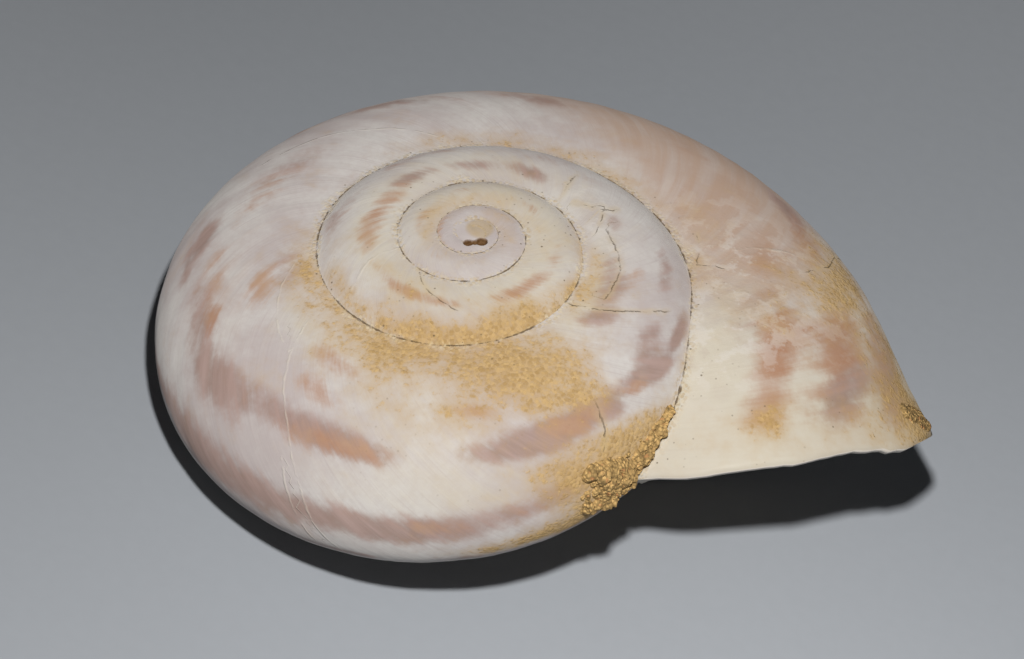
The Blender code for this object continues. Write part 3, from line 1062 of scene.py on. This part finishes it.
class BuildShell(bpy.types.Operator):
    """Build the coiled shell with its hollow, its worn tip and its broken lip"""

    bl_idname = "snail.build_shell"
    bl_label = "Shell"

    def execute(self, context):
        settings = context.scene.snail_shell
        points, normals, growth, around, seam = growth_grid(settings)
        marks = np.stack([growth / TURN, around, np.minimum(seam / MM, FAR_FROM_SUTURE)], -1)
        bm = bmesh.new()
        bm.loops.layers.float_vector.new("growth")
        rows = lay_grid(bm, sunk_holes(points), marks)
        back = mouth_row(settings)
        kept = len(rows) - 1 + back
        # The next whorl covers all past the landing, up to the row on which the mouth's inner side lies.
        hidden = [vert for verts in rows[:kept] for vert in verts[LANDING + 1 :]]
        bmesh.ops.delete(bm, geom=hidden, context="VERTS")
        mouth = mouth_ring(points, settings)
        close_over(bm, [verts[-1] for verts in rows[kept:]], mouth[COLUMNS + 1])
        ring = np.concatenate([points[: -back + 1, 0], points[0, LANDING - 1 :: -1]])
        cap = cap_rings(ring)
        cap_marks = np.broadcast_to(np.array([-TURNS, SUTURE_AROUND, FAR_FROM_SUTURE]), cap.shape)
        cap_rows = lay_grid(bm, cap, cap_marks)
        bmesh.ops.pointmerge(bm, verts=cap_rows[-1], merge_co=cap[-1, 0])
        step = CAVITY_TURNS * settings.rows / CAVITY_RINGS
        cavity_rows = [-round(step * number) for number in range(CAVITY_RINGS + 1)]
        rings = np.array([mouth] + [cavity_ring(points, normals, row, settings) for row in cavity_rows])
        inside_marks = np.broadcast_to(np.array([0.0, 0.0, INSIDE_MARK]), rings.shape)
        inside = lay_grid(bm, rings, inside_marks)
        close_over(bm, inside[-1], rings[-1][:-1].mean(axis=0))
        shell = piece_from("snail_shell", bm)
        paint(shell.data)
        shell.data.materials.append(shell_finish(settings))
        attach(shell, "root")
        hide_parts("shell")
        return {"FINISHED"}


def patch_grid(along, across, counts):
    """The two coordinates of each point of a grid between the ends along and across."""
    return np.meshgrid(np.linspace(*along, counts[0]), np.linspace(*across, counts[1]), indexing="ij")


def crust_rim(low):
    """Where a crust's two sheets meet: around cells with all corners low, and where it would be a thread."""
    empty = low[:-1, :-1] & low[1:, :-1] & low[:-1, 1:] & low[1:, 1:]
    for _ in range(20):
        rim = np.ones_like(low)
        rim[1:-1, 1:-1] = empty[:-1, :-1] | empty[1:, :-1] | empty[:-1, 1:] | empty[1:, 1:]
        empty[1:] |= rim[1:-1, :-1] & rim[1:-1, 1:] & ~empty[:-1]
        empty[:, 1:] |= rim[:-1, 1:-1] & rim[1:, 1:-1] & ~empty[:, :-1]
    return rim


def lay_crust(bm, points, height):
    """Adds closed lumps of soil over a patch of the shell. Where the height is below 0 they dip under the
    surface, and where it is as deep as SUNK there is no soil."""
    normals = surface_normals(points)
    from_coil_middle = points.mean(axis=(0, 1)) + (0, 0, 0.5 * APEX_TO_MIDDLE)
    normals *= math.copysign(1, normals.mean(axis=(0, 1)) @ from_coil_middle)
    rim = crust_rim(height < -0.98 * SUNK)
    thickness = np.where(rim, 0, np.maximum(height + SUNK, THINNEST_SOIL))
    under = points - SUNK * normals
    over = under + thickness[..., None] * normals
    closed = set()
    for sheet in (under, over):
        for verts, ends in zip(lay_grid(bm, sheet), rim):
            closed.update(vert for vert, end in zip(verts, ends) if end)
    empty = [face for face in bm.faces if closed.issuperset(face.verts)]
    bmesh.ops.delete(bm, geom=empty, context="FACES")


def crust_height(points, reach, thickness):
    """How high the soil stands on each point: lumps where the parts reach, with rounded grains of two sizes,
    drawn under the surface at the patch's edges."""
    rows, columns = points.shape[:2]
    row, column = np.mgrid[0:rows, 0:columns]
    from_edge = smooth(5 * np.sin(math.pi * row / (rows - 1)) * np.sin(math.pi * column / (columns - 1)))
    along = row * np.linalg.norm(np.diff(points, axis=0), axis=2).mean()
    across = column * np.linalg.norm(np.diff(points, axis=1), axis=2).mean()
    lumps = 0.35 * grain(along / LUMP_LENGTH, across / LUMP_WIDTH)
    lumps = lumps + 0.3 * grain(along / SMALL_LUMP, across / SMALL_LUMP)
    grains = 0.34 * pebbles(along / COARSE_GRAIN, across / COARSE_GRAIN)
    grains = grains + 0.2 * pebbles(along / FINE_GRAIN + 40, across / FINE_GRAIN)
    cover = 1.6 * reach - 1.0 + lumps
    height = thickness * (cover + (grains - 0.2) * smooth(2 + 5 * cover))
    return height * from_edge - SUNK * (1 - from_edge)


class BuildSoil(bpy.types.Operator):
    """Build the clod beside the lip's upper end and the crumb on the lip"""

    bl_idname = "snail.build_soil"
    bl_label = "Soil"

    def execute(self, context):
        settings = context.scene.snail_soil
        earth = soil_finish(settings)
        along, share = patch_grid((CLOD_FROM, CLOD_TO), (0, 1), CLOD_GRID)
        low = landing(np.minimum(along, 0)) + CLOD_CLEAR - CLOD_DROP * np.clip(along / CLOD_TO, 0, 1)
        around = low + (CLOD_TOP_AROUND - low) * share
        points = whorl_point(along - TURN, around)
        reach = patches(CLOD_PARTS, np.degrees(along), np.degrees(around))
        self.cake("suture_soil_clods", "suture_soil", points, reach, settings.clod, earth)

        back, across = patch_grid((CRUMB_BACK, CRUMB_LENGTH), (-CRUMB_HALF, CRUMB_HALF), CRUMB_GRID)
        around = CRUMB_AROUND + across / HALF_WIDTH
        growth = -back / (AXIS_TO_MIDDLE + HALF_WIDTH)
        points = whorl_point(lean(around) + growth, around)
        reach = patches(CRUMB_PARTS, np.degrees(growth), np.degrees(around))
        self.cake("lip_soil_crumb", "lip_soil", points, reach, settings.crumb, earth)
        return {"FINISHED"}

    def cake(self, name, node, points, reach, thickness, earth):
        bm = bmesh.new()
        lay_crust(bm, points, crust_height(points, reach, thickness))
        piece = piece_from(name, bm)
        piece.data.materials.append(earth)
        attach(piece, "root")
        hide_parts(node)


class BuildStage(bpy.types.Operator):
    """Lay the floor, hang the lights and aim the camera"""

    bl_idname = "snail.build_stage"
    bl_label = "Stage"

    def execute(self, context):
        settings = context.scene.snail_stage
        bm = bmesh.new()
        bmesh.ops.create_grid(bm, x_segments=2, y_segments=2, size=FLOOR_HALF)
        mesh = bpy.data.meshes.new("floor")
        bm.to_mesh(mesh)
        bm.free()
        mesh.materials.append(floor_finish(settings))
        floor = bpy.data.objects.new("floor", mesh)
        context.collection.objects.link(floor)

        turned = REST_TURN.to_matrix()
        ahead = turned @ Vector((0, math.cos(CAMERA_PITCH), -math.sin(CAMERA_PITCH)))
        level = turned @ Vector((1, 0, 0))
        above = turned @ Vector((0, math.sin(CAMERA_PITCH), math.cos(CAMERA_PITCH)))
        right = math.cos(CAMERA_ROLL) * level - math.sin(CAMERA_ROLL) * above
        up = math.sin(CAMERA_ROLL) * level + math.cos(CAMERA_ROLL) * above
        spot = APEX_PLACE + right * AIM_RIGHT - up * AIM_DOWN - ahead * settings.distance
        lens = bpy.data.cameras.new("camera")
        lens.lens = CAMERA_LENS * settings.distance / CAMERA_DISTANCE
        lens.sensor_width = CAMERA_SENSOR
        lens.sensor_fit = "HORIZONTAL"
        lens.clip_start = 1 * MM
        camera = bpy.data.objects.new("camera", lens)
        camera.matrix_world = Matrix.Translation(spot) @ Matrix((right, up, -ahead)).transposed().to_4x4()
        context.collection.objects.link(camera)
        context.scene.camera = camera

        lamp = bpy.data.lights.new("key", "AREA")
        lamp.shape = "DISK"
        lamp.size = LAMP_SIZE
        lamp.energy = settings.key
        light = bpy.data.objects.new("key", lamp)
        to_lamp = up * LAMP_UP + right * LAMP_RIGHT - ahead * LAMP_BACK
        aimed = (-to_lamp).to_track_quat("-Z", "Y").to_matrix().to_4x4()
        light.matrix_world = Matrix.Translation(SHELL_MIDDLE + to_lamp) @ aimed
        context.collection.objects.link(light)

        context.scene.view_settings.view_transform = "Standard"
        world = bpy.data.worlds.new("studio")
        world.use_nodes = True
        sky = world.node_tree.nodes["Background"]
        sky.inputs["Color"].default_value = SKY
        sky.inputs["Strength"].default_value = settings.fill
        context.scene.world = world
        return {"FINISHED"}


class SnailPanel(bpy.types.Panel):
    bl_idname = "VIEW3D_PT_snail_shell"
    bl_label = "Snail Shell"
    bl_space_type = "VIEW_3D"
    bl_region_type = "UI"
    bl_category = "Snail Shell"

    def draw(self, context):
        for settings, operator in (
            (context.scene.snail_shell, BuildShell),
            (context.scene.snail_soil, BuildSoil),
            (context.scene.snail_stage, BuildStage),
        ):
            box = self.layout.box()
            for name in settings.__annotations__:
                box.prop(settings, name)
            box.operator(operator.bl_idname)


CLASSES = (ShellSettings, SoilSettings, StageSettings, BuildShell, BuildSoil, BuildStage, SnailPanel)


def register():
    for kind in CLASSES:
        bpy.utils.register_class(kind)
    bpy.types.Scene.snail_shell = PointerProperty(type=ShellSettings)
    bpy.types.Scene.snail_soil = PointerProperty(type=SoilSettings)
    bpy.types.Scene.snail_stage = PointerProperty(type=StageSettings)


def unregister():
    del bpy.types.Scene.snail_stage
    del bpy.types.Scene.snail_soil
    del bpy.types.Scene.snail_shell
    for kind in reversed(CLASSES):
        bpy.utils.unregister_class(kind)


def main():
    register()
    bpy.ops.snail.build_shell()
    bpy.ops.snail.build_soil()
    bpy.ops.snail.build_stage()


if __name__ == "__main__":
    main()
